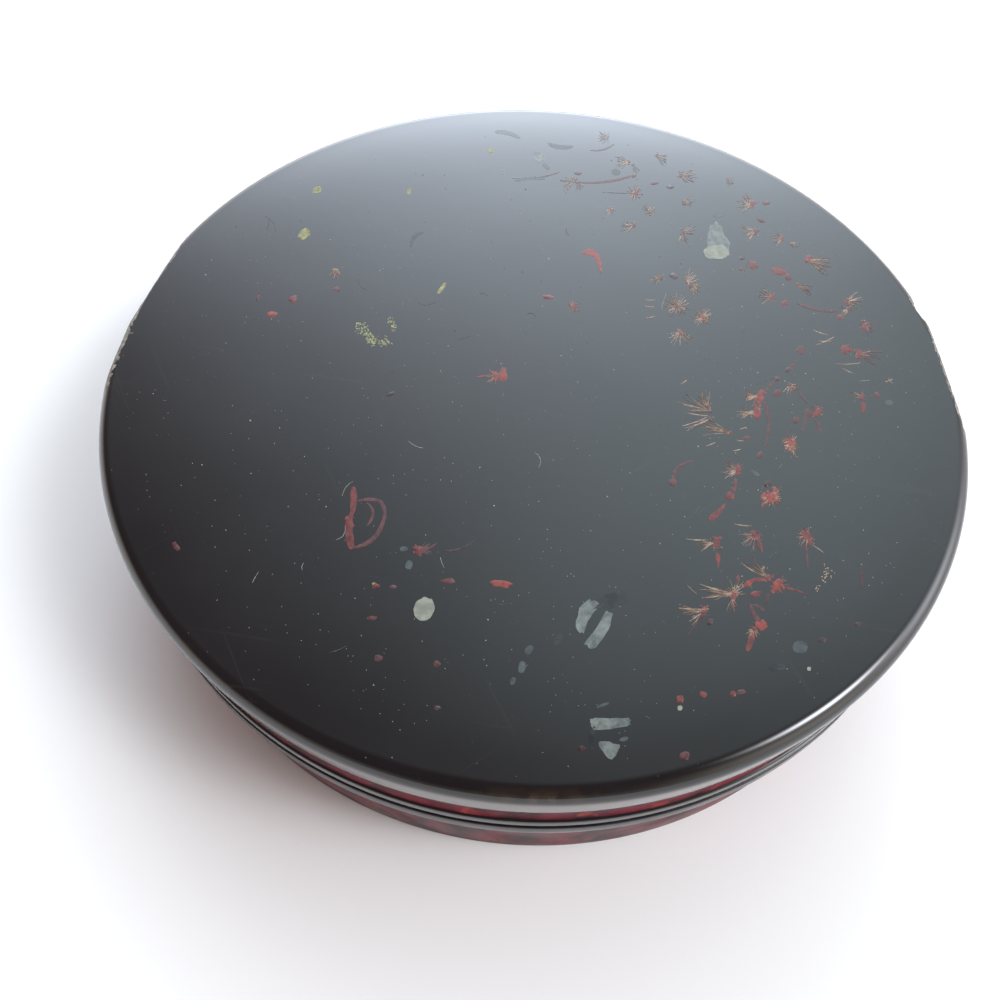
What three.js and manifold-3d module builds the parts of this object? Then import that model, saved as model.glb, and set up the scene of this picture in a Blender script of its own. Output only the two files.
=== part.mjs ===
// Round lidded box in black lacquer on turned wood: a shallow bowl-like body with a raised inner
// lip, and a flat-topped lid that drops over the lip and rests on the body's rim.
// Millimetres, +Z up. The underside stands at z = 0 and the turning axis is the z axis.
import * as THREE from "three";
import { mergeVertices } from "three/addons/utils/BufferGeometryUtils.js";
import Module from "manifold-3d";

// Overall size
const RADIUS = 120; // widest radius, at the lid's side
const HEIGHT = 63.8; // from the underside to the middle of the lid
const JOIN = 34.5; // height of the line where the lid meets the body
const GAP = 0.3; // clearance between the lid and the body
const OUT_OF_ROUND = 0.01; // the dried wood is longer one way and shorter across it by this share
const LONG_WAY = 136.7; // direction of the longer way, degrees from +X
const SEGMENTS = 90;

// Lid
const SHOULDER = 4; // radius of the rounded edge of the top
const TOP_FALL = 1.1; // how far the top falls from the middle to the shoulder
const FALL_POWER = 8; // high, so that the top is nearly flat and rolls off near its edge
const CREST = 48.7; // height of the lower edge of the lid's side moulding
const CREST_RADIUS = 119.2;
const BAND_RADIUS = 118.2; // slightly recessed red band between the moulding and the rim bead
const LID_BEAD_HEIGHT = 3.8; // the lid's rim bead is a narrow, nearly upright band
const LID_BEAD_RADIUS = 119.05;
const LID_INSIDE = 113.2; // inner radius of the lid's wall
const LID_TOP_THICKNESS = 5.5;
const LID_CORNER = 5; // radius between the lid's wall and its ceiling

// Body
const BODY_BEAD_RADIUS = 119.5;
const BODY_BEAD_HEIGHT = 4.6;
const WALL_TOP_RADIUS = 118.1;
const WALL_FOOT_RADIUS = 116.5;
const FOOT_RING_INSIDE = 106; // the underside is hollowed inside this radius
const FOOT_RECESS = 1.5;
const FLOOR = 6; // height of the inside floor
const LIP_HEIGHT = 9; // the inner lip stands this far above the join
const LIP_INSIDE = 109.9;
const INSIDE_FOOT_RADIUS = 109.3;
const BODY_CORNER = 5; // radius between the body's wall and its floor

const deg = THREE.MathUtils.degToRad;
const point = (r, z) => new THREE.Vector2(r, z);

// Points on an arc of a section, from one angle to another, both ends included.
function arc(r, z, radius, from, to, steps) {
  return Array.from({ length: steps + 1 }, (_, i) => {
    const angle = deg(from + ((to - from) * i) / steps);
    return point(r + radius * Math.cos(angle), z + radius * Math.sin(angle));
  });
}

// A section turned round the z axis, then drawn slightly out of round.
function turned(section) {
  const geometry = new THREE.LatheGeometry(section, SEGMENTS);
  geometry.rotateX(Math.PI / 2);
  geometry.scale(1 + OUT_OF_ROUND, 1 - OUT_OF_ROUND, 1);
  geometry.rotateZ(deg(LONG_WAY));
  return geometry;
}

// The lid's section, from the middle of its ceiling round the rim to the middle of its top.
function lidSection() {
  const ceiling = HEIGHT - LID_TOP_THICKNESS;
  const rim = JOIN + GAP / 2;
  const shoulderZ = HEIGHT - TOP_FALL - SHOULDER;
  const flat = RADIUS - SHOULDER;
  const beadTop = rim + LID_BEAD_HEIGHT;
  const topAt = (r) => point(r, HEIGHT - TOP_FALL * (r / flat) ** FALL_POWER);
  return [
    point(0, ceiling),
    ...arc(LID_INSIDE - LID_CORNER, ceiling - LID_CORNER, LID_CORNER, 90, 0, 3),
    point(LID_INSIDE, rim + 0.6),
    point(LID_INSIDE + 0.5, rim),
    point(LID_BEAD_RADIUS - 0.4, rim),
    point(LID_BEAD_RADIUS, rim + 0.4),
    point(LID_BEAD_RADIUS - 0.1, beadTop - 1.2),
    point(LID_BEAD_RADIUS - 0.5, beadTop - 0.3),
    point(BAND_RADIUS, beadTop),
    point(BAND_RADIUS - 0.1, (beadTop + CREST) / 2),
    point(BAND_RADIUS, CREST - 0.9),
    point(CREST_RADIUS - 0.4, CREST - 0.4),
    point(CREST_RADIUS, CREST + 0.3),
    point(RADIUS - 0.4, CREST + 4.5),
    ...arc(flat, shoulderZ, SHOULDER, 0, 90, 5),
    ...[112, 106, 98, 86].map(topAt),
    point(0, HEIGHT),
  ];
}

// The body's section, from the middle of its underside up the wall and over the lip to its floor.
function bodySection() {
  const ledge = JOIN - GAP / 2;
  const lipTop = JOIN + LIP_HEIGHT;
  const lipOutside = LID_INSIDE - GAP;
  const beadFoot = ledge - BODY_BEAD_HEIGHT;
  const cornerR = INSIDE_FOOT_RADIUS - BODY_CORNER;
  return [
    point(0, FOOT_RECESS),
    point(FOOT_RING_INSIDE - 1.5, FOOT_RECESS),
    point(FOOT_RING_INSIDE, 0),
    point(WALL_FOOT_RADIUS - 0.8, 0),
    point(WALL_FOOT_RADIUS, 1.2),
    point((WALL_TOP_RADIUS + WALL_FOOT_RADIUS) / 2, 15),
    point(WALL_TOP_RADIUS, beadFoot - 0.4),
    point(BODY_BEAD_RADIUS - 0.9, beadFoot),
    point(BODY_BEAD_RADIUS - 0.1, beadFoot + 0.6),
    point(BODY_BEAD_RADIUS, (beadFoot + ledge) / 2),
    point(BODY_BEAD_RADIUS - 0.15, ledge - 0.5),
    point(BODY_BEAD_RADIUS - 0.6, ledge),
    point(lipOutside, ledge),
    point(lipOutside, lipTop - 0.8),
    point(lipOutside - 0.8, lipTop),
    point(LIP_INSIDE + 0.8, lipTop),
    point(LIP_INSIDE, lipTop - 0.8),
    point(LIP_INSIDE, ledge),
    ...arc(cornerR, FLOOR + BODY_CORNER, BODY_CORNER, 0, -90, 3),
    point(0, FLOOR),
  ];
}

// Flat breaks along the lid's edge: the direction each faces, how far it leans back from upright
// and how deep it goes at its middle.
const FLAT_CHIPS = [
  { azimuth: 168.5, lean: 14, depth: 1.1 },
  { azimuth: 176.5, lean: 10, depth: 1.1 },
  { azimuth: 3.5, lean: 14, depth: 1.1 },
];

// A deeper scooped break: its direction, and its half sizes across, along and down the edge.
const SCOOP = { azimuth: 12.8, across: 4.2, along: 11, down: 8.5, depth: 2.4 };

// The block of material that a flat break takes away, clear of everything below the moulding.
function flatChip({ azimuth, lean, depth }) {
  const thickness = 12;
  const geometry = new THREE.BoxGeometry(thickness, 60, 30);
  geometry.translate(thickness / 2 - depth, 0, 10);
  geometry.rotateY(-deg(lean));
  geometry.translate(RADIUS, 0, CREST + 5.5);
  geometry.rotateZ(deg(azimuth));
  return geometry;
}

// The rounded lump of material that the scooped break takes away.
function scoopedChip({ azimuth, across, along, down, depth }) {
  const geometry = new THREE.IcosahedronGeometry(1, 3);
  geometry.scale(across, along, down);
  geometry.rotateY(-deg(16));
  geometry.translate(RADIUS + across - depth, 0, HEIGHT - 2.5);
  geometry.rotateZ(deg(azimuth));
  return geometry;
}

const manifold = await Module();
manifold.setup();

// A three.js geometry as a manifold-3d solid.
function solid(geometry) {
  const bare = geometry.clone();
  bare.deleteAttribute("normal");
  bare.deleteAttribute("uv");
  const merged = mergeVertices(bare, 1e-4);
  return new manifold.Manifold(
    new manifold.Mesh({
      numProp: 3,
      vertProperties: merged.attributes.position.array,
      triVerts: new Uint32Array(merged.index.array),
    }),
  );
}

// A manifold-3d solid as a three.js geometry.
function geometryOf(shape) {
  const mesh = shape.getMesh();
  const geometry = new THREE.BufferGeometry();
  geometry.setAttribute("position", new THREE.BufferAttribute(mesh.vertProperties, 3));
  geometry.setIndex(new THREE.BufferAttribute(mesh.triVerts, 1));
  geometry.computeVertexNormals();
  return geometry;
}

function buildLid() {
  const whole = solid(turned(lidSection()));
  const lost = [...FLAT_CHIPS.map(flatChip), scoopedChip(SCOOP)];
  const worn = lost.reduce((shape, chip) => shape.subtract(solid(chip)), whole);
  const blackLacquer = new THREE.MeshStandardMaterial({
    color: 0x1f1b1e,
    roughness: 0.14,
    metalness: 0,
  });
  const lid = new THREE.Mesh(geometryOf(worn), blackLacquer);
  lid.name = "lid";
  return lid;
}

function buildBody() {
  const redLacquer = new THREE.MeshStandardMaterial({
    color: 0x5a2629,
    roughness: 0.22,
    metalness: 0,
  });
  const body = new THREE.Mesh(turned(bodySection()), redLacquer);
  body.name = "body";
  return body;
}

const box = new THREE.Group();
box.name = "lacquer_box";
box.add(buildBody(), buildLid());

export default box;
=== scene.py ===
"""Round lidded box in old black lacquer: the finish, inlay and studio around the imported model.

The lid and the body are turned sections, spun round the z axis and drawn slightly out of round. The
inlay on the lid is laid out in the photograph's frame and carried down the view rays on to the lid.
"""

import logging
import math
import random
from dataclasses import dataclass
from enum import Enum
from functools import cached_property
from typing import ClassVar

import bmesh
import bpy
from mathutils import Matrix, Vector, noise


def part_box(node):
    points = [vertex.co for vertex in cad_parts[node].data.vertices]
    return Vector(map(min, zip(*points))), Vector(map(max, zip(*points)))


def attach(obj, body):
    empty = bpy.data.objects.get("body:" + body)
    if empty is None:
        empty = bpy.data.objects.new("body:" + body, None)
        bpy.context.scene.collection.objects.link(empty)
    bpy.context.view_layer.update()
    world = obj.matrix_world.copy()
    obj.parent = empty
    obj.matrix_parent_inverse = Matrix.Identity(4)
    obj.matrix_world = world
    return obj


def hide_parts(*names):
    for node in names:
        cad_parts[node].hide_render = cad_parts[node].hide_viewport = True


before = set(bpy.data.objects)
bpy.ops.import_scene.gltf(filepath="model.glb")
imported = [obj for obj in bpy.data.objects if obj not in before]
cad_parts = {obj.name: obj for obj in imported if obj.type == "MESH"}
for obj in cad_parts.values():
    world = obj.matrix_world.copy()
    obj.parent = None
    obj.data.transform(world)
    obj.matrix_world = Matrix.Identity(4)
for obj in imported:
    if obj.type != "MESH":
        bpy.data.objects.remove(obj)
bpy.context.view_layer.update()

log = logging.getLogger("lacquer_box")

Socket = bpy.types.NodeSocket
Tone = tuple[float, float, float, float]
Pixel = tuple[float, float]
Section = list[tuple[float, float]]

MM = 0.001
ROOT = "root"
LID_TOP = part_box("lid")[1][2]
SHARP = math.radians(38)
MERGE_GAP = 1e-6
SLIVER = 1e-7
STRAND_SIDES = 6

# The colour sockets of Blender's Mix node, which share their names with its other kinds.
MIX_FIRST, MIX_SECOND, MIX_RESULT = 6, 7, 2


def colour(red: int, green: int, blue: int) -> Tone:
    """A colour as read off a screen, in Blender's linear values.

    Args:
        red: red, 0 to 255.
        green: green, 0 to 255.
        blue: blue, 0 to 255.

    Returns:
        The linear colour with an alpha of one.
    """
    shares = [value / 255 for value in (red, green, blue)]
    linear = [s / 12.92 if s <= 0.04045 else ((s + 0.055) / 1.055) ** 2.4 for s in shares]
    return (linear[0], linear[1], linear[2], 1.0)


class Slot(Enum):
    """The record's material slots."""

    BLACK = "black_lacquer"
    MOTTLED = "mottled_red_lacquer"
    RED = "red_inlay"
    GOLD = "gold_inlay"
    SHELL = "shell_inlay"
    GROUND = "bare_ground"
    LINT = "lint"


@dataclass(frozen=True)
class BoxForm:
    """The box's driving sizes, in metres, the same as the solid model's."""

    radius: float = 120 * MM
    join: float = 34.5 * MM
    gap: float = 0.3 * MM
    out_of_round: float = 0.01
    long_way: float = math.radians(136.7)
    shoulder: float = 4 * MM
    top_fall: float = 1.1 * MM
    fall_power: float = 8.0
    crest: float = 48.7 * MM
    crest_radius: float = 119.2 * MM
    band_radius: float = 118.2 * MM
    lid_bead_height: float = 3.8 * MM
    lid_bead_radius: float = 119.05 * MM
    lid_inside: float = 113.2 * MM
    lid_top_thickness: float = 5.5 * MM
    corner: float = 5 * MM
    body_bead_radius: float = 119.5 * MM
    body_bead_height: float = 4.6 * MM
    wall_top_radius: float = 118.1 * MM
    wall_foot_radius: float = 116.5 * MM
    foot_ring_inside: float = 106 * MM
    foot_recess: float = 1.5 * MM
    floor: float = 6 * MM
    lip_height: float = 9 * MM
    lip_inside: float = 109.9 * MM
    inside_foot_radius: float = 109.3 * MM
    height: float = LID_TOP
    ripple: float = 0.05 * MM
    ripple_scale: float = 26.0
    ripple_sink: float = 0.3

    @property
    def flat(self) -> float:
        """Radius at which the top gives way to the rounded shoulder."""
        return self.radius - self.shoulder

    def top(self, r: float) -> float:
        """Height of the lid's top at a radius of the round section."""
        return self.height - self.top_fall * (r / self.flat) ** self.fall_power

    def unevenness(self, x: float, y: float) -> float:
        """How far the old wood has moved the lid's top up or down at a place."""
        wave = noise.noise(Vector((x, y, 0)) * self.ripple_scale)
        return self.ripple * (wave - self.ripple_sink)

    def section_radius(self, point: Vector) -> float:
        """Radius in the round section of a point on the out-of-round box."""
        turned = Matrix.Rotation(-self.long_way, 3, "Z") @ point
        return math.hypot(turned.x / (1 + self.out_of_round), turned.y / (1 - self.out_of_round))

    def draw_out(self, bm: bmesh.types.BMesh) -> None:
        """Draws a spun mesh out of round, as the dried wood is.

        Args:
            bm: the mesh.
        """
        longer, shorter = 1 + self.out_of_round, 1 - self.out_of_round
        bmesh.ops.scale(bm, vec=(longer, shorter, 1), verts=bm.verts)
        bmesh.ops.rotate(bm, matrix=Matrix.Rotation(self.long_way, 3, "Z"), verts=bm.verts)


FORM = BoxForm()


@dataclass(frozen=True)
class PhotoView:
    """The photograph's viewpoint, and its frame of 1000 by 1000 pixels."""

    distance: float = 255.9 * MM
    elevation: float = math.radians(49.008)
    turn: float = math.radians(-2.836)
    pitch: float = math.radians(57.714)
    roll: float = math.radians(-0.085)
    focal: float = 900.0
    middle: float = 500.0
    sensor: float = 36.0
    clip: tuple[float, float] = (0.01, 20.0)
    rounds: int = 4

    @cached_property
    def eye(self) -> Vector:
        """Where the camera stands."""
        across = -self.distance * math.cos(self.elevation)
        up = FORM.height + self.distance * math.sin(self.elevation)
        return Vector((0, across, up))

    @cached_property
    def axes(self) -> tuple[Vector, Vector, Vector]:
        """The frame's right, down and forward directions."""
        level = math.cos(self.pitch)
        ahead = math.cos(self.turn) * level
        forward = Vector((math.sin(self.turn) * level, ahead, -math.sin(self.pitch)))
        right = Vector((math.cos(self.turn), -math.sin(self.turn), 0))
        down = forward.cross(right)
        cos, sin = math.cos(self.roll), math.sin(self.roll)
        return cos * right + sin * down, cos * down - sin * right, forward

    def ray(self, x: float, y: float) -> Vector:
        """Direction from the camera through a pixel.

        Args:
            x: pixel column.
            y: pixel row.

        Returns:
            The direction, not of unit length.
        """
        right, down, forward = self.axes
        across, below = (x - self.middle) / self.focal, (y - self.middle) / self.focal
        return forward + right * across + down * below

    def on_lid(self, x: float, y: float, lift: float) -> Vector:
        """The point of the lid's top seen at a pixel.

        Args:
            x: pixel column.
            y: pixel row.
            lift: how far above the lid's top the point lies.

        Returns:
            The point, lifted straight up from the lid's top.
        """
        eye, ray = self.eye, self.ray(x, y)
        height = FORM.height
        for _ in range(self.rounds):
            point = eye + ray * ((height - eye.z) / ray.z)
            height = FORM.top(min(FORM.section_radius(point), FORM.flat))
        return Vector((point.x, point.y, height + FORM.unevenness(point.x, point.y) + lift))

    def place_camera(self) -> None:
        """Makes the camera and makes it the scene's."""
        right, down, forward = self.axes
        data = bpy.data.cameras.new("camera")
        data.sensor_fit = "HORIZONTAL"
        data.sensor_width = self.sensor
        data.lens = self.sensor * self.focal / (2 * self.middle)
        data.clip_start, data.clip_end = self.clip
        camera = bpy.data.objects.new("camera", data)
        turned = Matrix((right, -down, -forward)).transposed().to_4x4()
        camera.matrix_world = Matrix.Translation(self.eye) @ turned
        bpy.context.scene.collection.objects.link(camera)
        bpy.context.scene.camera = camera


VIEW = PhotoView()


class Net:
    """A node tree, with short calls for the nodes that its patterns share."""

    def __init__(self, tree: bpy.types.NodeTree, coordinates: str) -> None:
        """Starts on a tree.

        Args:
            tree: the node tree.
            coordinates: the kind of coordinates that its patterns read.
        """
        self.nodes = tree.nodes
        self.links = tree.links
        self.place = self.nodes.new("ShaderNodeTexCoord").outputs[coordinates]

    def feed(self, socket: Socket, value: object) -> None:
        """Links a socket to another node's output, or sets its own value.

        Args:
            socket: the socket to feed.
            value: another node's output, or a plain value.
        """
        if isinstance(value, Socket):
            self.links.new(value, socket)
        else:
            socket.default_value = value

    def axis(self, name: str) -> Socket:
        """One of the coordinates: X, Y or Z.

        Args:
            name: its letter.

        Returns:
            The coordinate.
        """
        node = self.nodes.new("ShaderNodeSeparateXYZ")
        self.links.new(self.place, node.inputs[0])
        return node.outputs[name]

    def ramp(
        self, value: object, low: float, high: float, to_low: float = 0.0, to_high: float = 1.0
    ) -> Socket:
        """Carries a range of values to another, held at its ends.

        Args:
            value: the value read.
            low: where the range starts.
            high: where the range ends.
            to_low: the result at its start.
            to_high: the result at its end.

        Returns:
            The result.
        """
        node = self.nodes.new("ShaderNodeMapRange")
        for socket, number in zip(node.inputs, (value, low, high, to_low, to_high)):
            self.feed(socket, number)
        return node.outputs["Result"]

    def math(self, kind: str, first: object, second: object = 0.0, third: object = 0.0) -> Socket:
        """One sum, product, power or comparison of values.

        Args:
            kind: Blender's name of the operation.
            first: the first value.
            second: the second value, where it takes one.
            third: the third value, where it takes one.

        Returns:
            The result.
        """
        node = self.nodes.new("ShaderNodeMath")
        node.operation = kind
        for socket, value in zip(node.inputs, (first, second, third)):
            self.feed(socket, value)
        return node.outputs[0]

    def mix(self, share: object, first: object, second: object) -> Socket:
        """A colour between two.

        Args:
            share: how much of the second one there is.
            first: the first colour.
            second: the second colour.

        Returns:
            The colour.
        """
        node = self.nodes.new("ShaderNodeMix")
        node.data_type = "RGBA"
        self.feed(node.inputs["Factor"], share)
        self.feed(node.inputs[MIX_FIRST], first)
        self.feed(node.inputs[MIX_SECOND], second)
        return node.outputs[MIX_RESULT]


class Weave(Net):
    """A material of one principled shader, and the patterns that feed it."""

    def __init__(self, name: str) -> None:
        """Starts a material whose patterns read object coordinates.

        Args:
            name: the material's name.
        """
        self.material = bpy.data.materials.new(name)
        self.material.use_nodes = True
        super().__init__(self.material.node_tree, "Object")
        self.shader = self.nodes["Principled BSDF"]

    def set(self, socket: str, value: object) -> None:
        """Links or sets one of the shader's sockets."""
        self.feed(self.shader.inputs[socket], value)

    def mapped(self, scale: tuple[float, float, float], turn: float = 0.0) -> Socket:
        """Object coordinates, turned about z and then scaled.

        Args:
            scale: the factor for each axis.
            turn: the turn, in radians.

        Returns:
            The coordinates.
        """
        turned = self.nodes.new("ShaderNodeMapping")
        turned.inputs["Rotation"].default_value = (0, 0, turn)
        self.links.new(self.place, turned.inputs["Vector"])
        scaled = self.nodes.new("ShaderNodeMapping")
        scaled.inputs["Scale"].default_value = scale
        self.links.new(turned.outputs["Vector"], scaled.inputs["Vector"])
        return scaled.outputs["Vector"]

    def noise(
        self, scale: float, detail: float = 2.0, place: Socket | None = None, rough: float = 0.5
    ) -> Socket:
        """A cloud pattern.

        Args:
            scale: how many clouds there are to a metre.
            detail: how many finer layers there are.
            place: the coordinates, or none for plain object coordinates.
            rough: how strong the finer layers are.

        Returns:
            The pattern, from zero to one.
        """
        node = self.nodes.new("ShaderNodeTexNoise")
        node.inputs["Scale"].default_value = scale
        node.inputs["Detail"].default_value = detail
        node.inputs["Roughness"].default_value = rough
        self.links.new(place or self.place, node.inputs["Vector"])
        return node.outputs["Fac"]

    def cells(self, scale: float) -> Socket:
        """A pattern of scattered points.

        Args:
            scale: how many points there are to a metre.

        Returns:
            The distance to the nearest one.
        """
        node = self.nodes.new("ShaderNodeTexVoronoi")
        node.inputs["Scale"].default_value = scale
        self.links.new(self.place, node.inputs["Vector"])
        return node.outputs["Distance"]

    def nearness(self, point: tuple[float, float, float], reach: float) -> Socket:
        """One at a point, falling to nothing at a distance from it.

        Args:
            point: the point.
            reach: the distance.

        Returns:
            The nearness.
        """
        node = self.nodes.new("ShaderNodeVectorMath")
        node.operation = "DISTANCE"
        self.links.new(self.place, node.inputs[0])
        node.inputs[1].default_value = point
        return self.ramp(node.outputs["Value"], 0.0, reach, 1.0, 0.0)

    def bump(self, height: Socket, distance: float) -> None:
        """Gives the shader a relief.

        Args:
            height: its pattern.
            distance: how high it is where the pattern is one.
        """
        node = self.nodes.new("ShaderNodeBump")
        node.inputs["Strength"].default_value = 1.0
        node.inputs["Distance"].default_value = distance
        self.links.new(height, node.inputs["Height"])
        self.links.new(node.outputs["Normal"], self.shader.inputs["Normal"])


@dataclass(frozen=True)
class BlackLacquer:
    """Old black lacquer with a deep gloss, hairline scratches, dust and edges rubbed to brown."""

    base: Tone = colour(10, 8, 9)
    haze: Tone = colour(17, 16, 18)
    rubbed: Tone = colour(58, 46, 32)
    dust: Tone = colour(110, 110, 106)
    rough: tuple[float, float] = (0.07, 0.15)
    index: float = 1.54
    coat: float = 0.22
    coat_rough: float = 0.04
    relief: float = 0.012 * MM
    speck_rough: float = 0.5
    scratch_share: float = 0.03
    scratch_rough: float = 0.04
    scratch_depth: float = 0.12
    hairlines: tuple[tuple[float, float, float], ...] = (
        (0.12, 14, 0.68),
        (1.05, 20, 0.7),
        (-0.6, 17, 0.71),
    )
    top_heights: tuple[float, float] = (61.5 * MM, 62.5 * MM)
    shoulder_starts: tuple[float, float] = (56 * MM, 59 * MM)
    shoulder_ends: tuple[float, float] = (61.5 * MM, 62.6 * MM)
    worn_spot: tuple[float, float, float] = (6 * MM, -119 * MM, 60 * MM)
    worn_reach: float = 18 * MM

    def material(self) -> bpy.types.Material:
        """Builds the finish.

        Returns:
            The material.
        """
        weave = Weave("black_lacquer")
        height = weave.axis("Z")
        scratch = self.scratches(weave)
        top = weave.ramp(height, *self.top_heights)
        specks = weave.math("MULTIPLY", self.specks(weave), top)
        cloud = weave.ramp(weave.noise(22, detail=4), 0.4, 0.75)
        tone = weave.mix(cloud, self.base, self.haze)
        faint = weave.math("MULTIPLY", scratch, self.scratch_share)
        tone = weave.mix(faint, tone, self.dust)
        tone = weave.mix(self.rubbing(weave, height), tone, self.rubbed)
        weave.set("Base Color", weave.mix(specks, tone, self.dust))
        rough = weave.ramp(weave.noise(60, detail=5), 0.35, 0.7, *self.rough)
        rough = weave.math("ADD", rough, weave.math("MULTIPLY", specks, self.speck_rough))
        rough = weave.math("ADD", rough, weave.math("MULTIPLY", scratch, self.scratch_rough))
        weave.set("Roughness", rough)
        weave.set("IOR", self.index)
        weave.set("Coat Weight", self.coat)
        weave.set("Coat Roughness", self.coat_rough)
        grooves = weave.math("MULTIPLY", scratch, -self.scratch_depth)
        weave.bump(weave.math("ADD", weave.noise(150, detail=3), grooves), self.relief)
        return weave.material

    def scratches(self, weave: Weave) -> Socket:
        """Sparse hairlines in several directions.

        Args:
            weave: the material that they are part of.

        Returns:
            One on a hairline and zero beside it.
        """
        total: object = 0.0
        for turn, along, threshold in self.hairlines:
            place = weave.mapped((along, 900, 40), turn)
            line = weave.ramp(weave.noise(1.0, detail=1, place=place), threshold, threshold + 0.05)
            total = weave.math("MAXIMUM", total, line)
        gaps = weave.ramp(weave.noise(35), 0.5, 0.6)
        return weave.math("MULTIPLY", total, gaps)

    def specks(self, weave: Weave) -> Socket:
        """Fine dust, thicker in drifts.

        Args:
            weave: the material that it is part of.

        Returns:
            One on a speck and zero beside it.
        """
        near = weave.cells(420)
        size = weave.ramp(weave.noise(45, detail=3), 0.35, 0.75, 0.02, 0.075)
        return weave.math("LESS_THAN", near, size)

    def rubbing(self, weave: Weave, height: Socket) -> Socket:
        """Brown wear along the shoulder, and most of it at the middle of the front.

        Args:
            weave: the material that it is part of.
            height: height above the floor.

        Returns:
            The share of brown.
        """
        low = weave.ramp(height, *self.shoulder_starts)
        high = weave.ramp(height, *self.shoulder_ends, 1.0, 0.0)
        edge = weave.math("MULTIPLY", low, high)
        patchy = weave.ramp(weave.noise(70, detail=5, rough=0.65), 0.6, 0.72)
        front = weave.nearness(self.worn_spot, self.worn_reach)
        streak = weave.ramp(weave.noise(260, detail=3), 0.42, 0.6)
        patches = weave.math("MULTIPLY", patchy, 0.5)
        worn = weave.math("MAXIMUM", patches, weave.math("MULTIPLY", front, streak))
        return weave.math("MULTIPLY", worn, edge)


@dataclass(frozen=True)
class MottledLacquer:
    """Dark red lacquer clouded with black, with flecks of orange red under the gloss, darkened near the
    foot by painted shade.
    """

    name: str = "mottled_red_lacquer"
    deep: Tone = colour(46, 22, 28)
    red: Tone = colour(108, 34, 44)
    fleck: Tone = colour(140, 56, 52)
    flecks: float = 0.7
    rough: float = 0.42
    gloss: float = 0.17
    stretch: tuple[float, float, float] = (1, 1, 0.55)
    relief: float = 0.03 * MM
    # Heights over which the painted shade at the foot fades, from full at the first to none at the second.
    foot: tuple[float, float] = (0.6 * MM, 1.6 * MM)

    def material(self) -> bpy.types.Material:
        """Builds the finish.

        Returns:
            The material.
        """
        weave = Weave(self.name)
        stretched = weave.mapped(self.stretch)
        cloud = weave.noise(120, detail=4, place=stretched, rough=0.6)
        tone = weave.mix(weave.ramp(cloud, 0.38, 0.62), self.deep, self.red)
        spots = weave.ramp(weave.noise(210, place=stretched), 0.6, 0.68)
        chosen = weave.ramp(weave.noise(60), 0.48, 0.6)
        fleck = weave.math("MULTIPLY", weave.math("MULTIPLY", spots, chosen), self.flecks)
        tone = weave.mix(fleck, tone, self.fleck)
        # Painted shade: the colour darkens to the deep red towards the foot, standing in for the shade
        # where the wall meets the floor.
        foot = weave.ramp(weave.axis("Z"), *self.foot, 1.0, 0.0)
        weave.set("Base Color", weave.mix(foot, tone, self.deep))
        uneven = weave.noise(90, detail=4)
        weave.set("Roughness", weave.ramp(uneven, 0.3, 0.7, self.rough - 0.06, self.rough + 0.1))
        weave.set("Specular IOR Level", self.gloss)
        weave.bump(weave.noise(240, detail=3), self.relief)
        return weave.material


@dataclass(frozen=True)
class InnerLacquer:
    """Plain dark lacquer of the inside and the underside."""

    base: Tone = colour(36, 30, 31)
    worn: Tone = colour(52, 42, 42)
    rough: tuple[float, float] = (0.2, 0.38)
    relief: float = 0.02 * MM

    def material(self) -> bpy.types.Material:
        """Builds the finish.

        Returns:
            The material.
        """
        weave = Weave("inner_lacquer")
        cloud = weave.ramp(weave.noise(40, detail=4), 0.35, 0.7)
        weave.set("Base Color", weave.mix(cloud, self.base, self.worn))
        weave.set("Roughness", weave.ramp(weave.noise(110, detail=4), 0.3, 0.7, *self.rough))
        weave.bump(weave.noise(180, detail=3), self.relief)
        return weave.material


@dataclass(frozen=True)
class BareGround:
    """The dull grey-brown ground and the splintered edge in a break of the lacquer."""

    dark: Tone = colour(56, 48, 44)
    pale: Tone = colour(158, 150, 138)
    rough: tuple[float, float] = (0.45, 0.75)
    relief: float = 0.15 * MM

    def material(self) -> bpy.types.Material:
        """Builds the finish.

        Returns:
            The material.
        """
        weave = Weave("bare_ground")
        grain = weave.noise(420, detail=5, place=weave.mapped((1, 1, 2.5)), rough=0.65)
        weave.set("Base Color", weave.mix(weave.ramp(grain, 0.35, 0.68), self.dark, self.pale))
        weave.set("Roughness", weave.ramp(grain, 0.3, 0.7, *self.rough))
        weave.bump(grain, self.relief)
        return weave.material


@dataclass(frozen=True)
class InlayFinish:
    """One of the colours laid into the lid, with a little unevenness of tone."""

    name: str
    first: Tone
    second: Tone
    rough: float = 0.3
    metal: float = 0.0
    scale: float = 500.0
    relief: float = 0.04 * MM

    def material(self) -> bpy.types.Material:
        """Builds the finish.

        Returns:
            The material.
        """
        weave = Weave(self.name)
        cloud = weave.noise(self.scale, detail=4, rough=0.6)
        weave.set("Base Color", weave.mix(weave.ramp(cloud, 0.35, 0.65), self.first, self.second))
        weave.set("Roughness", weave.ramp(cloud, 0.3, 0.7, self.rough, self.rough + 0.2))
        weave.set("Metallic", self.metal)
        weave.bump(cloud, self.relief)
        return weave.material


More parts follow.
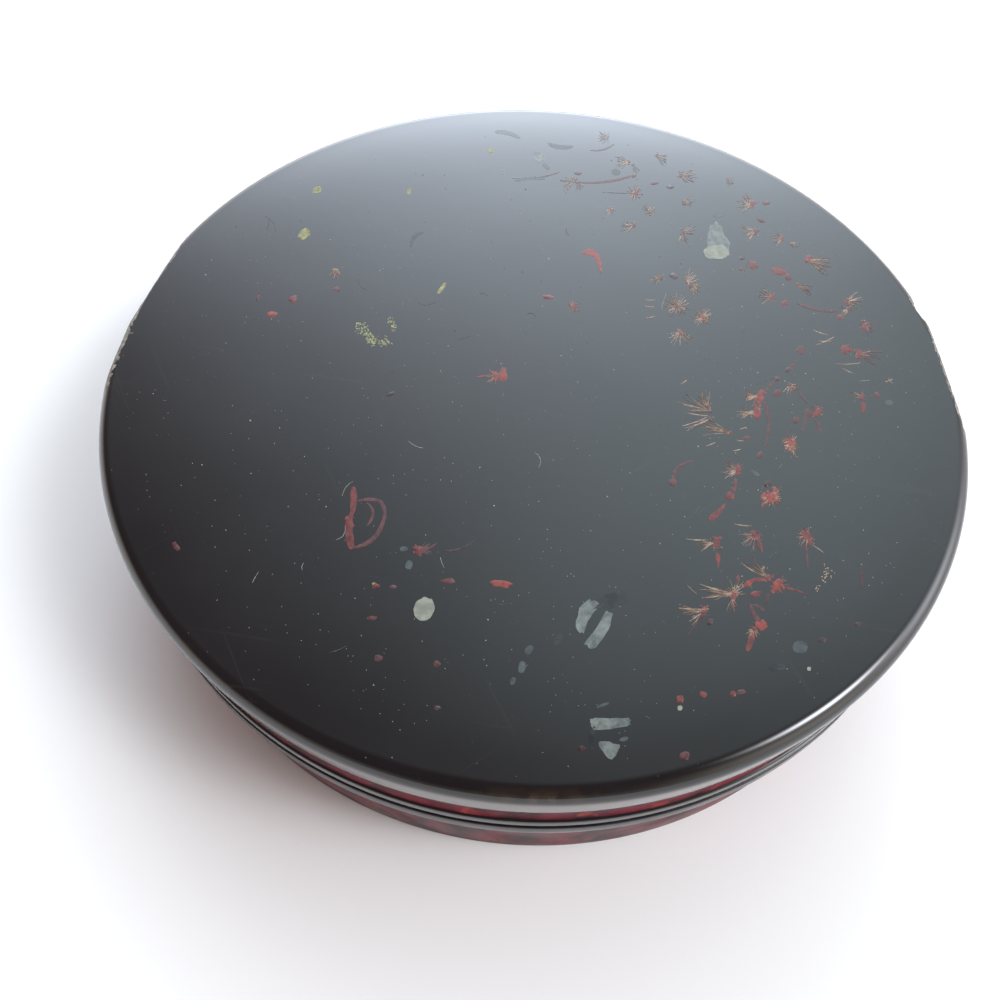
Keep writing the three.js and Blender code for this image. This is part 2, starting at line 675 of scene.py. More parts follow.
WALL_LACQUER = MottledLacquer()
BAND_LACQUER = MottledLacquer(
    name="mottled_red_band",
    deep=colour(46, 14, 24),
    red=colour(112, 28, 44),
    fleck=colour(170, 64, 52),
    flecks=0.8,
    rough=0.5,
    gloss=0.1,
)
RIM_LACQUER = MottledLacquer(
    name="rim_lacquer",
    deep=colour(14, 14, 18),
    red=colour(24, 24, 28),
    fleck=colour(46, 30, 34),
    flecks=0.3,
    rough=0.2,
    gloss=0.42,
)
BRIGHT_RED = InlayFinish("bright_red_inlay", colour(96, 30, 26), colour(138, 58, 46), scale=900)
PLAIN_RED = InlayFinish("red_inlay", colour(74, 27, 27), colour(116, 50, 46), scale=900)
DULL_RED = InlayFinish("dull_red_inlay", colour(58, 30, 31), colour(92, 50, 49), scale=900)
SUNK_RED = InlayFinish("sunk_red_inlay", colour(44, 27, 27), colour(66, 40, 38), rough=0.18)
GOLD_INLAY = InlayFinish(
    "gold_inlay", colour(112, 86, 68), colour(162, 140, 116), rough=0.34, metal=0.15, scale=900
)
GOLD_LEAF = InlayFinish(
    "gold_leaf", colour(88, 86, 50), colour(146, 146, 98), rough=0.4, metal=0.15, scale=700
)
EGGSHELL_INLAY = InlayFinish(
    "eggshell_inlay", colour(112, 115, 102), colour(142, 145, 131), rough=0.4, scale=420
)
SHELL_INLAY = InlayFinish("shell_inlay", colour(70, 77, 75), colour(116, 122, 116), scale=420)
GREY_SHELL = InlayFinish("grey_shell", colour(46, 52, 55), colour(68, 75, 76), rough=0.2, scale=260)
GHOST_SHELL = InlayFinish(
    "ghost_shell", colour(20, 22, 25), colour(40, 44, 46), rough=0.14, scale=260
)
LINT_FINISH = InlayFinish(
    "lint", colour(120, 120, 114), colour(156, 156, 150), rough=0.8, scale=900
)
DULL_LINT = InlayFinish("dull_lint", colour(62, 62, 58), colour(96, 96, 90), rough=0.8, scale=900)


class Piece:
    """A new mesh piece that rides on the box."""

    def __init__(self, name: str, slot: Slot) -> None:
        """Starts an empty mesh.

        Args:
            name: the piece's name.
            slot: a material slot; it is kept on the piece and not used.
        """
        self.name = name
        self.slot = slot
        self.bm = bmesh.new()

    def finish(self, materials: list[bpy.types.Material]) -> bpy.types.Object:
        """Turns the mesh into an object of the scene.

        Args:
            materials: the piece's finishes, in the order of its faces' material numbers.

        Returns:
            The object, riding on the box.
        """
        bm = self.bm
        for face in bm.faces:
            face.smooth = True
        for edge in bm.edges:
            edge.smooth = len(edge.link_faces) == 2 and edge.calc_face_angle() < SHARP
        mesh = bpy.data.meshes.new(self.name)
        bm.to_mesh(mesh)
        bm.free()
        for material in materials:
            mesh.materials.append(material)
        piece = bpy.data.objects.new(self.name, mesh)
        bpy.context.scene.collection.objects.link(piece)
        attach(piece, ROOT)
        log.info("%s: %d faces", self.name, len(mesh.polygons))
        return piece


def direction(turn: float, rise: float) -> Vector:
    """A direction at an azimuth and an elevation, in radians."""
    level = math.cos(rise)
    return Vector((math.cos(turn) * level, math.sin(turn) * level, math.sin(rise)))


def arc(r: float, z: float, radius: float, start: float, end: float, steps: int) -> Section:
    """Points on an arc of a section.

    Args:
        r: radius at which its middle lies.
        z: height at which its middle lies.
        radius: its own radius.
        start: where it starts, in degrees.
        end: where it ends, in degrees.
        steps: how many stretches it has.

    Returns:
        Radius and height of each point, both ends included.
    """
    turns = [math.radians(start + (end - start) * i / steps) for i in range(steps + 1)]
    return [(r + radius * math.cos(turn), z + radius * math.sin(turn)) for turn in turns]


def spin_section(bm: bmesh.types.BMesh, section: Section, steps: int) -> None:
    """Spins a section round the z axis into a closed shell, facing out.

    Args:
        bm: the mesh to add to.
        section: radius and height of each point.
        steps: how many faces go round.
    """
    verts = [bm.verts.new((r, 0, z)) for r, z in section]
    edges = [bm.edges.new(pair) for pair in zip(verts, verts[1:])]
    bmesh.ops.spin(
        bm,
        geom=verts + edges,
        cent=(0, 0, 0),
        axis=(0, 0, 1),
        angle=math.tau,
        steps=steps,
        use_merge=True,
    )
    bmesh.ops.remove_doubles(bm, verts=bm.verts, dist=MERGE_GAP)
    bmesh.ops.dissolve_degenerate(bm, dist=SLIVER, edges=bm.edges)
    bmesh.ops.recalc_face_normals(bm, faces=bm.faces)


@dataclass(frozen=True)
class FlatBreak:
    """A flat break along the lid's edge, with the lacquer splintered away beside it."""

    azimuth: float
    lean: float
    depth: float
    splinters: float
    rise: float = 5.5 * MM
    coarse: float = 0.16 * MM
    fine: float = 0.07 * MM
    splinter_drop: float = 2.2 * MM

    @property
    def normal(self) -> Vector:
        """The direction that the break faces."""
        return direction(math.radians(self.azimuth), math.radians(self.lean))

    def beyond(self, point: Vector) -> float:
        """How far a point of the whole edge lies beyond the break.

        Args:
            point: the point.

        Returns:
            The distance, which is less than nothing for a point that stays.
        """
        turn = math.radians(self.azimuth)
        across, along = FORM.radius * math.cos(turn), FORM.radius * math.sin(turn)
        corner = Vector((across, along, FORM.crest + self.rise))
        rough = self.coarse * noise.noise(point * 420) + self.fine * noise.noise(point * 1500)
        return (point - corner).dot(self.normal) + self.depth + rough

    def push(self, point: Vector) -> Vector:
        """Where a point of the whole edge lies after the break."""
        return point - self.normal * max(self.beyond(point), 0)

    def splintered(self, point: Vector) -> bool:
        """Whether the lacquer at a point beside the break has splintered away."""
        ragged = self.splinters * (1 + 0.9 * noise.noise(point * 700))
        return self.beyond(point) > -ragged and point.z > FORM.height - self.splinter_drop


@dataclass(frozen=True)
class ScoopedBreak:
    """A deeper, rounded break of the lid's edge."""

    azimuth: float
    across: float
    along: float
    down: float
    depth: float
    drop: float
    tilt: float = math.radians(-16)
    coarse: float = 0.05
    fine: float = 0.03

    def push(self, point: Vector) -> Vector:
        """Where a point of the whole edge lies after the break.

        Args:
            point: the point.

        Returns:
            The same point, or its new place on the scooped surface.
        """
        out = FORM.radius + self.across - self.depth
        place = Matrix.Rotation(math.radians(self.azimuth), 4, "Z")
        place @= Matrix.Translation((out, 0, FORM.height - self.drop))
        place @= Matrix.Rotation(self.tilt, 4, "Y")
        place @= Matrix.Diagonal((self.across, self.along, self.down, 1))
        inner = place.inverted() @ point
        ragged = self.coarse * noise.noise(point * 500) + self.fine * noise.noise(point * 1400)
        reach = 1 + ragged
        if inner.length >= reach or inner.length < 1e-3:
            return point
        inner.x = -math.sqrt(max(reach**2 - inner.y**2 - inner.z**2, 0))
        return place @ inner


class Coat(Enum):
    """The finishes of the lid and the body, by material number."""

    BLACK = 0
    MOTTLED = 1
    INNER = 2
    GROUND = 3


@dataclass
class Lid:
    """The lid: domed top, rounded shoulder, side moulding, recessed band and rim bead."""

    form: BoxForm = FORM
    steps: int = 288
    top_rings: int = 26
    breaks: tuple[FlatBreak | ScoopedBreak, ...] = (
        FlatBreak(azimuth=168.5, lean=14, depth=1.1 * MM, splinters=0.6 * MM),
        FlatBreak(azimuth=176.5, lean=10, depth=1.1 * MM, splinters=1.2 * MM),
        FlatBreak(azimuth=3.5, lean=14, depth=1.1 * MM, splinters=0.6 * MM),
        ScoopedBreak(
            azimuth=12.8,
            across=4.2 * MM,
            along=11 * MM,
            down=8.5 * MM,
            depth=2.4 * MM,
            drop=2.5 * MM,
        ),
        ScoopedBreak(
            azimuth=14.2,
            across=5 * MM,
            along=12 * MM,
            down=5 * MM,
            depth=4.3 * MM,
            drop=-1.1 * MM,
        ),
    )
    break_span: float = 11.0
    break_from: float = 111 * MM
    break_cuts: int = 3
    break_shift: float = 0.12 * MM
    uneven_depth: float = 3 * MM

    def section(self) -> Section:
        """The section, from the middle of the ceiling round the rim.

        Returns:
            Radius and height of each point, as far as the middle of the top.
        """
        form = self.form
        ceiling = form.height - form.lid_top_thickness
        rim = form.join + form.gap / 2
        band_top = form.crest - 1.2 * MM
        bead_top = rim + form.lid_bead_height
        shoulder_z = form.height - form.top_fall - form.shoulder
        rings = [form.flat * (1 - i / self.top_rings) for i in range(1, self.top_rings + 1)]
        return [
            (0, ceiling),
            (form.lid_inside * 0.5, ceiling),
            *arc(form.lid_inside - form.corner, ceiling - form.corner, form.corner, 90, 0, 8),
            (form.lid_inside, rim + 0.6 * MM),
            (form.lid_inside + 0.5 * MM, rim),
            *arc(form.lid_bead_radius - 0.4 * MM, rim + 0.4 * MM, 0.4 * MM, -90, 0, 4),
            (form.lid_bead_radius - 0.03 * MM, bead_top - 2 * MM),
            (form.lid_bead_radius - 0.1 * MM, bead_top - 1.2 * MM),
            *arc(form.lid_bead_radius - 0.6 * MM, bead_top - 0.6 * MM, 0.45 * MM, 10, 80, 4),
            (form.band_radius + 0.06 * MM, bead_top),
            (form.band_radius - 0.04 * MM, bead_top + 0.8 * MM),
            (form.band_radius - 0.1 * MM, (bead_top + form.crest) / 2),
            (form.band_radius - 0.04 * MM, band_top - 0.4 * MM),
            (form.band_radius + 0.15 * MM, band_top + 0.3 * MM),
            *arc(form.crest_radius - 0.5 * MM, form.crest + 0.2 * MM, 0.5 * MM, -80, 0, 5),
            (form.crest_radius + 0.2 * MM, form.crest + 2 * MM),
            (form.radius - 0.4 * MM, form.crest + 4.5 * MM),
            (form.radius - 0.1 * MM, form.crest + 8 * MM),
            *arc(form.flat, shoulder_z, form.shoulder, 0, 90, 14),
            *[(r, form.top(r)) for r in rings],
        ]

    def finish_of(self, face: bmesh.types.BMFace) -> Coat:
        """The finish of a face, by its place on the section.

        Args:
            face: a face of the spun mesh.

        Returns:
            Its finish.
        """
        form, centre = self.form, face.calc_center_median()
        r = form.section_radius(centre)
        low = form.join + form.lid_bead_height + 0.1 * MM
        high = form.crest - 0.8 * MM
        outside = form.lid_inside + 1 * MM < r < form.band_radius + 0.7 * MM
        if outside and low < centre.z < high:
            return Coat.MOTTLED
        inside = r < form.lid_inside + 0.3 * MM and centre.z < form.height - 2 * MM
        return Coat.INNER if inside else Coat.BLACK

    def near_breaks(self, point: Vector) -> bool:
        """Whether a point is on a stretch of the edge that is broken.

        Args:
            point: a point of the whole lid.

        Returns:
            True for such a point.
        """
        turn = math.degrees(math.atan2(point.y, point.x))
        away = [abs((turn - part.azimuth + 180) % 360 - 180) for part in self.breaks]
        beside = min(away) < self.break_span
        outer = self.form.section_radius(point) > self.break_from
        return beside and outer and point.z > self.form.crest - 2 * MM

    def break_edge(self, bm: bmesh.types.BMesh) -> None:
        """Breaks the lacquer away along the edge, on a finer mesh than the rest.

        Args:
            bm: the lid's mesh.
        """
        near = [e for e in bm.edges if all(self.near_breaks(v.co) for v in e.verts)]
        bmesh.ops.subdivide_edges(bm, edges=near, cuts=self.break_cuts, use_grid_fill=True)
        moved = set()
        for vert in bm.verts:
            if not self.near_breaks(vert.co):
                continue
            place = vert.co.copy()
            for part in self.breaks:
                place = part.push(place)
            if (place - vert.co).length > self.break_shift:
                moved.add(vert)
            vert.co = place
        flat = [part for part in self.breaks if isinstance(part, FlatBreak)]
        for face in bm.faces:
            centre = face.calc_center_median()
            worn = self.near_breaks(centre) and any(part.splintered(centre) for part in flat)
            if worn or any(vert in moved for vert in face.verts):
                face.material_index = Coat.GROUND.value

    def build(self) -> None:
        """Makes the lid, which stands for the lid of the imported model."""
        piece = Piece("lid_shell", Slot.BLACK)
        spin_section(piece.bm, self.section(), self.steps)
        self.form.draw_out(piece.bm)
        for face in piece.bm.faces:
            face.material_index = self.finish_of(face).value
        for vert in piece.bm.verts:
            if vert.co.z > self.form.height - self.uneven_depth:
                vert.co.z += self.form.unevenness(vert.co.x, vert.co.y)
        self.break_edge(piece.bm)
        coats = (BlackLacquer(), BAND_LACQUER, InnerLacquer(), BareGround())
        lid = piece.finish([coat.material() for coat in coats])
        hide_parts("lid")


@dataclass
class Body:
    """The body: rim bead, tapering wall, foot ring, hollowed underside, inner lip and floor."""

    form: BoxForm = FORM
    steps: int = 288
    wall_from: float = 115 * MM
    foot_edge: float = 0.5 * MM

    def section(self) -> Section:
        """The section, from the middle of the underside up the wall and over the lip.

        Returns:
            Radius and height of each point, as far as the middle of the floor.
        """
        form = self.form
        ledge = form.join - form.gap / 2
        lip_top = form.join + form.lip_height
        lip_outside = form.lid_inside - form.gap
        bead_foot = ledge - form.body_bead_height
        bead = [
            (form.body_bead_radius - 0.9 * MM, bead_foot),
            *arc(form.body_bead_radius - 0.5 * MM, bead_foot + 0.5 * MM, 0.5 * MM, -70, 0, 4),
            (form.body_bead_radius, (bead_foot + ledge) / 2),
            (form.body_bead_radius - 0.05 * MM, ledge - 1.2 * MM),
            *arc(form.body_bead_radius - 0.6 * MM, ledge - 0.5 * MM, 0.5 * MM, 0, 90, 4),
        ]
        corner_r = form.inside_foot_radius - form.corner
        return [
            (0, form.foot_recess),
            (form.foot_ring_inside * 0.5, form.foot_recess),
            (form.foot_ring_inside - 1.5 * MM, form.foot_recess),
            (form.foot_ring_inside - 0.2 * MM, 0.1 * MM),
            (form.foot_ring_inside + 0.3 * MM, 0),
            *arc(form.wall_foot_radius - 0.9 * MM, 0.9 * MM, 0.9 * MM, -90, 0, 4),
            (form.wall_foot_radius + 0.35 * MM, 6 * MM),
            ((form.wall_top_radius + form.wall_foot_radius) / 2, 15 * MM),
            (form.wall_top_radius - 0.3 * MM, 24 * MM),
            (form.wall_top_radius, bead_foot - 0.4 * MM),
            *bead,
            (lip_outside + 0.3 * MM, ledge),
            (lip_outside, ledge + 0.3 * MM),
            *arc(lip_outside - 0.8 * MM, lip_top - 0.8 * MM, 0.8 * MM, 0, 90, 5),
            *arc(form.lip_inside + 0.8 * MM, lip_top - 0.8 * MM, 0.8 * MM, 90, 180, 5),
            (form.lip_inside, ledge),
            *arc(corner_r, form.floor + form.corner, form.corner, 0, -90, 8),
            (form.lip_inside * 0.5, form.floor),
            (0, form.floor),
        ]

    def finish_of(self, face: bmesh.types.BMFace) -> Coat:
        """The finish of a face, by its place on the section.

        Args:
            face: a face of the spun mesh.

        Returns:
            Its finish.
        """
        centre = face.calc_center_median()
        bead_foot = self.form.join - self.form.gap / 2 - self.form.body_bead_height
        if self.form.section_radius(centre) < self.wall_from:
            return Coat.INNER
        return Coat.MOTTLED if self.foot_edge < centre.z < bead_foot else Coat.BLACK

    def build(self) -> None:
        """Makes the body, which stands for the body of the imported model."""
        piece = Piece("body_shell", Slot.MOTTLED)
        spin_section(piece.bm, self.section(), self.steps)
        self.form.draw_out(piece.bm)
        for face in piece.bm.faces:
            face.material_index = self.finish_of(face).value
        coats = (RIM_LACQUER, WALL_LACQUER, InnerLacquer())
        body = piece.finish([coat.material() for coat in coats])
        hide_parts("body")


def bent(start: Pixel, bend: Pixel, end: Pixel, steps: int) -> list[Vector]:
    """Points along a curve that leaves one point for another by way of a third.

    Args:
        start: where it starts.
        bend: what it bends towards.
        end: where it ends.
        steps: how many stretches it has.

    Returns:
        The points, both ends included.
    """
    first, middle, last = Vector(start), Vector(bend), Vector(end)
    shares = [i / steps for i in range(steps + 1)]
    return [first * (1 - t) ** 2 + middle * 2 * t * (1 - t) + last * t**2 for t in shares]


class Inlay(Piece):
    """A thin piece of the inlay, drawn in the photograph's frame and then laid on the lid.

    While it is drawn, x runs right and y down in pixels, and z is the height in millimetres.
    """

    def strand(
        self, path: list[Vector], widths: tuple[float, ...], thick: float, tone: int
    ) -> None:
        """Draws a flattened strand along a path.

        Args:
            path: the points that it follows.
            widths: its width at each of some evenly spread stations, in pixels.
            thick: its thickness, in millimetres.
            tone: material number.
        """
        places = []
        for i, point in enumerate(path):
            along = (path[min(i + 1, len(path) - 1)] - path[max(i - 1, 0)]).normalized()
            station = i / (len(path) - 1) * (len(widths) - 1)
            low = min(int(station), len(widths) - 2)
            width = widths[low] + (widths[low + 1] - widths[low]) * (station - low)
            across = Vector((-along.y, along.x, 0)) * width
            columns = Matrix((across, (0, 0, thick), (along.x, along.y, 0))).transposed().to_4x4()
            places.append(Matrix.Translation((point.x, point.y, 0)) @ columns)
        circle = bmesh.ops.create_circle(
            self.bm, cap_ends=True, segments=STRAND_SIDES, radius=0.5, matrix=places[0]
        )
        face = circle["verts"][0].link_faces[0]
        face.material_index = tone
        for before, after in zip(places, places[1:]):
            grown = bmesh.ops.extrude_face_region(self.bm, geom=[face])["geom"]
            face = next(part for part in grown if isinstance(part, bmesh.types.BMFace))
            bmesh.ops.transform(self.bm, matrix=after @ before.inverted(), verts=list(face.verts))

    def lump(
        self,
        x: float,
        y: float,
        long: float,
        wide: float,
        turn: float,
        thick: float,
        tone: int,
        fine: int = 2,
    ) -> None:
        """Draws a flattened, slightly ragged lump.

        Args:
            x: pixel column of its middle.
            y: pixel row of its middle.
            long: its length, in pixels.
            wide: its width, in pixels.
            turn: direction of its length, in degrees from the right, upwards.
            thick: its thickness, in millimetres.
            tone: material number.
            fine: how often its sphere is subdivided.
        """
        place = Matrix.Translation((x, y, 0)) @ Matrix.Rotation(-math.radians(turn), 4, "Z")
        place @= Matrix.Diagonal((long, wide, thick, 1))
        verts = bmesh.ops.create_icosphere(self.bm, subdivisions=fine, radius=0.5)["verts"]
        seed = Vector((x, y, 0))
        for vert in verts:
            vert.co *= 1 + 0.45 * noise.noise(vert.co * 3.2 + seed)
        bmesh.ops.transform(self.bm, matrix=place, verts=verts)
        for face in {face for vert in verts for face in vert.link_faces}:
            face.material_index = tone

    def lay(self, materials: list[bpy.types.Material]) -> None:
        """Carries the drawing on to the lid and makes it an object.

        Args:
            materials: the piece's finishes, in the order of its faces' material numbers.
        """
        for vert in self.bm.verts:
            vert.co = VIEW.on_lid(vert.co.x, vert.co.y, vert.co.z * MM)
        bmesh.ops.recalc_face_normals(self.bm, faces=self.bm.faces)
        self.finish(materials)


class Red(Enum):
    """Strength of a red mark, from bright to nearly sunk in the black."""

    BRIGHT = 0
    PLAIN = 1
    DULL = 2
    SUNK = 3


@dataclass(frozen=True)
class Tuft:
    """A red core with fine needles that fan out to one side, some of them gold."""

    x: float
    y: float
    faces: float
    reach: float
    core: float = 6.0
    spread: float = 60.0
    needles: int = 9
    gold: float = 0.6
    red: Red = Red.PLAIN
    rows: float = 0.0

    CORE_THICK: ClassVar[float] = 0.1
    LOBE_THICK: ClassVar[float] = 0.11
    RED_THICK: ClassVar[float] = 0.09
    GOLD_THICK: ClassVar[float] = 0.14
    GRAIN_THICK: ClassVar[float] = 0.2
    RED_WIDTHS: ClassVar[tuple[float, ...]] = (1.3, 0.9, 0.35)
    GOLD_WIDTHS: ClassVar[tuple[float, ...]] = (0.5, 0.6, 0.25)
    FULLNESS: ClassVar[float] = 1.9

    def draw(self, red: Inlay, gold: Inlay, rng: random.Random) -> None:
        """Draws the core, the needles and the gold grains on the core.

        Args:
            red: the piece that takes what is red.
            gold: the piece that takes what is gold.
            rng: the source of the unevenness.
        """
        if self.core:
            self.draw_core(red, rng)
        count = round(self.needles * self.FULLNESS)
        for i in range(count):
            self.draw_needle(red, gold, rng, 2 * i / max(count - 1, 1) - 1)
        for _ in range(round(self.core * self.gold * 0.9)):
            x, y = (at + rng.uniform(-0.6, 0.6) * self.core for at in (self.x, self.y))
            long, turn = rng.uniform(0.8, 1.8), rng.uniform(0, 180)
            gold.lump(x, y, long, 0.8, turn, self.GRAIN_THICK, 0, fine=1)

    def draw_core(self, red: Inlay, rng: random.Random) -> None:
        """Draws the core as a lump with smaller lobes about it.

        Args:
            red: the piece that it is drawn in.
            rng: the source of the lobes' places, sizes and tones.
        """
        tone, across = self.red.value, self.faces + 80
        red.lump(self.x, self.y, self.core * 0.95, self.core * 0.6, across, self.CORE_THICK, tone)
        for _ in range(int(self.core / 1.4)):
            x, y = (at + rng.uniform(-0.5, 0.5) * self.core for at in (self.x, self.y))
            size = self.core * rng.uniform(0.25, 0.5)
            shade = min(tone + rng.choice((0, 0, 1)), Red.SUNK.value)
            turn = rng.uniform(0, 180)
            red.lump(x, y, size, size * 0.6, turn, self.LOBE_THICK, shade, fine=1)

    def draw_needle(self, red: Inlay, gold: Inlay, rng: random.Random, share: float) -> None:
        """Draws one needle, gold or red.

        Args:
            red: the piece that takes a red one.
            gold: the piece that takes a gold one.
            rng: the source of its direction, length and bend.
            share: its place in the fan, from -1 to 1.
        """
        turn = math.radians(self.faces + self.spread * share + rng.uniform(-9, 9))
        reach = self.reach * rng.uniform(0.5, 1.08) * (1 - 0.2 * abs(share))
        out = Vector((math.cos(turn), -math.sin(turn)))
        side = Vector((-out.y, out.x))
        root = Vector((self.x, self.y)) + out * self.core * 0.25 + side * share * self.rows
        tip = root + out * reach
        middle = (root + tip) / 2 + side * rng.uniform(-0.12, 0.12) * reach
        path = bent(root, middle, tip, 3)
        if rng.random() < self.gold:
            gold.strand(path, self.GOLD_WIDTHS, self.GOLD_THICK, 0)
        else:
            tone = min(self.red.value + 1, Red.SUNK.value)
            red.strand(path, self.RED_WIDTHS, self.RED_THICK, tone)


@dataclass(frozen=True)
class Stem:
    """A painted stroke that may thicken towards one end."""

    start: Pixel
    bend: Pixel
    end: Pixel
    wide: float = 2.6
    end_wide: float = 2.6
    red: Red = Red.DULL
    ball: float = 0.0

    THICK: ClassVar[float] = 0.09
    BALL_THICK: ClassVar[float] = 0.12

    def draw(self, red: Inlay) -> None:
        """Draws the stroke, and the ball that it may end in.

        Args:
            red: the piece that it is drawn in.
        """
        middle = (self.wide + self.end_wide) / 2
        widths = (self.wide * 0.5, self.wide, middle, self.end_wide, self.end_wide * 0.5)
        red.strand(bent(self.start, self.bend, self.end, 9), widths, self.THICK, self.red.value)
        if self.ball:
            red.lump(*self.end, self.ball, self.ball * 0.9, 0, self.BALL_THICK, self.red.value)


@dataclass(frozen=True)
class Blob:
    """A plain dab of red."""

    x: float
    y: float
    long: float
    wide: float
    turn: float = 0.0
    red: Red = Red.PLAIN

    THICK: ClassVar[float] = 0.11

    def draw(self, red: Inlay) -> None:
        """Draws the dab."""
        red.lump(self.x, self.y, self.long, self.wide, self.turn, self.THICK, self.red.value)


@dataclass(frozen=True)
class Line:
    """A fine gold line."""

    start: Pixel
    end: Pixel
    wide: float = 1.1

    THICK: ClassVar[float] = 0.12

    def draw(self, gold: Inlay) -> None:
        """Draws the line, slightly bent and tapering to both ends.

        Args:
            gold: the piece that it is drawn in.
        """
        gap = Vector(self.end) - Vector(self.start)
        middle = Vector(self.start) + gap / 2 + Vector((-gap.y, gap.x)) * 0.06
        widths = (self.wide * 0.4, self.wide, self.wide * 0.4)
        gold.strand(bent(self.start, middle, self.end, 4), widths, self.THICK, 0)


class Pale(Enum):
    """The pale inlays, from the whitest to the ones that lie deep in the lacquer."""

    EGGSHELL = 0
    SHELL = 1
    GREY = 2
    GHOST = 3


@dataclass(frozen=True)
class Flake:
    """A flat chip of shell or leaf, tapered, bent and ragged at its edge."""

    x: float
    y: float
    long: float
    wide: float
    turn: float = 0.0
    taper: float = 0.0
    bend: float = 0.0
    ragged: float = 0.12
    square: float = 0.3
    tone: Pale = Pale.SHELL
    lift: float = 0.03

    SUNK: ClassVar[float] = 0.03
    SIDES: ClassVar[int] = 28

    def draw(self, inlay: Inlay, material: int) -> None:
        """Draws the chip as a thin plate.

        Args:
            inlay: the piece that it is drawn in.
            material: material number.
        """
        bm = inlay.bm
        ring = bmesh.ops.create_circle(bm, cap_ends=True, segments=self.SIDES, radius=0.5)
        verts = ring["verts"]
        face = verts[0].link_faces[0]
        face.material_index = material
        seed = Vector((self.x, self.y, 0))
        for vert in verts:
            vert.co /= (2 * max(abs(vert.co.x), abs(vert.co.y))) ** self.square
            share = vert.co.x * 2
            coarse, fine = noise.noise(vert.co * 4 + seed), noise.noise(vert.co * 11 + seed)
            vert.co *= 1 + self.ragged * (coarse + 0.6 * fine)
            vert.co.y *= 1 + self.taper * share
            across = vert.co.y * self.wide + self.bend * share**2
            vert.co = Vector((vert.co.x * self.long, across, 0))
        place = Matrix.Translation((self.x, self.y, -self.SUNK))
        place @= Matrix.Rotation(-math.radians(self.turn), 4, "Z")
        bmesh.ops.transform(bm, matrix=place, verts=verts)
        grown = bmesh.ops.extrude_face_region(bm, geom=[face])["geom"]
        top = [part for part in grown if isinstance(part, bmesh.types.BMVert)]
        bmesh.ops.translate(bm, vec=(0, 0, self.SUNK + self.lift), verts=top)


@dataclass(frozen=True)
class Crumbs:
    """Gold leaf broken into crumbs along a curve."""

    start: Pixel
    bend: Pixel
    end: Pixel
    spread: float
    count: int

    THICK: ClassVar[float] = 0.07

    def draw(self, leaf: Inlay, rng: random.Random) -> None:
        """Draws the crumbs.

        Args:
            leaf: the piece that they are drawn in.
            rng: the source of their places and sizes.
        """
        path = bent(self.start, self.bend, self.end, 20)
        for _ in range(self.count):
            spot = rng.choice(path).copy()
            spot += Vector((rng.gauss(0, self.spread), rng.gauss(0, self.spread * 0.7)))
            long, wide, turn = rng.uniform(1.2, 3.2), rng.uniform(0.9, 1.8), rng.uniform(0, 180)
            leaf.lump(spot.x, spot.y, long, wide, turn, self.THICK, 0, fine=1)


@dataclass(frozen=True)
class Sprinkle:
    """A cluster of loose gold flecks beside the sprigs."""

    x: float
    y: float
    reach: float
    count: int

    THICK: ClassVar[float] = 0.16

    def draw(self, gold: Inlay, rng: random.Random) -> None:
        """Draws the flecks.

        Args:
            gold: the piece that they are drawn in.
            rng: the source of their places and sizes.
        """
        for _ in range(self.count):
            x = self.x + rng.gauss(0, self.reach / 2)
            y = self.y + rng.gauss(0, self.reach / 1.7)
            long, wide, turn = rng.uniform(1.2, 2.8), rng.uniform(1, 1.8), rng.uniform(0, 180)
            gold.lump(x, y, long, wide, turn, self.THICK, 0, fine=1)


